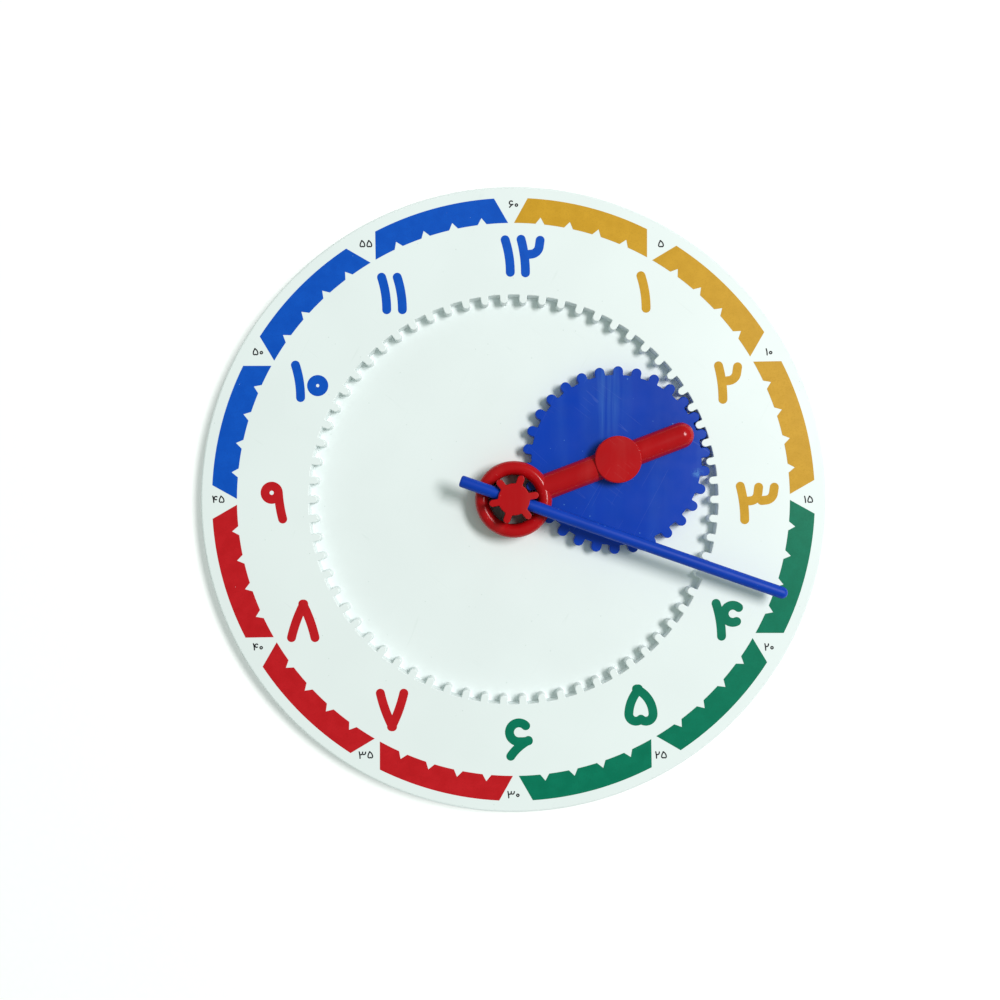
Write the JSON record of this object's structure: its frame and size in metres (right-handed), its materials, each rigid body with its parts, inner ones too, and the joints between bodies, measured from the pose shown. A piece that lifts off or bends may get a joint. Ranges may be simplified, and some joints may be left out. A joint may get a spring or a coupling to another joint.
{
  "type": "geared teaching clock",
  "caption": "Round teaching clock whose hands are geared: a pinion turned by the minute rod rolls a planet gear round a toothed ring in the dial, and the gear carries the hour arm.",
  "frame": {"origin": "centre of the dial at its back plane, on which the clock lies", "axes": "+Z out of the clock's face, +Y towards 12 o'clock, +X towards 3 o'clock"},
  "size_m": [0.256, 0.256, 0.0228],
  "materials": {
    "white_plastic": "smooth moulded plastic with a soft gloss",
    "blue_plastic": "smooth moulded plastic with a soft gloss",
    "red_plastic": "glossy moulded plastic",
    "steel": "plain zinc-plated steel"
  },
  "bodies": {
    "dial": {"dial": "white_plastic"},
    "arm": {"hour_arm": "red_plastic"},
    "planet": {"planet_gear": "blue_plastic"},
    "minute": {"sun_pinion": "red_plastic", "minute_rod": "blue_plastic", "center_screw": "steel", "washer": "steel"}
  },
  "joints": [
    {"name": "hour_turn", "type": "hinge", "parent": "dial", "child": "arm", "pos_m": [0, 0, 0.0092], "axis": [0, 0, -1], "continuous": true},
    {"name": "planet_turn", "type": "hinge", "parent": "arm", "child": "planet", "pos_m": [0.04204, 0.01605, 0.007], "axis": [0, 0, -1], "continuous": true},
    {"name": "minute_turn", "type": "hinge", "parent": "dial", "child": "minute", "pos_m": [0, 0, 0.0092], "axis": [0, 0, -1], "continuous": true}
  ],
  "couplings": [
    {"joint": "planet_turn", "follows": "hour_turn", "ratio": -2.2},
    {"joint": "minute_turn", "follows": "hour_turn", "ratio": 12}
  ]
}
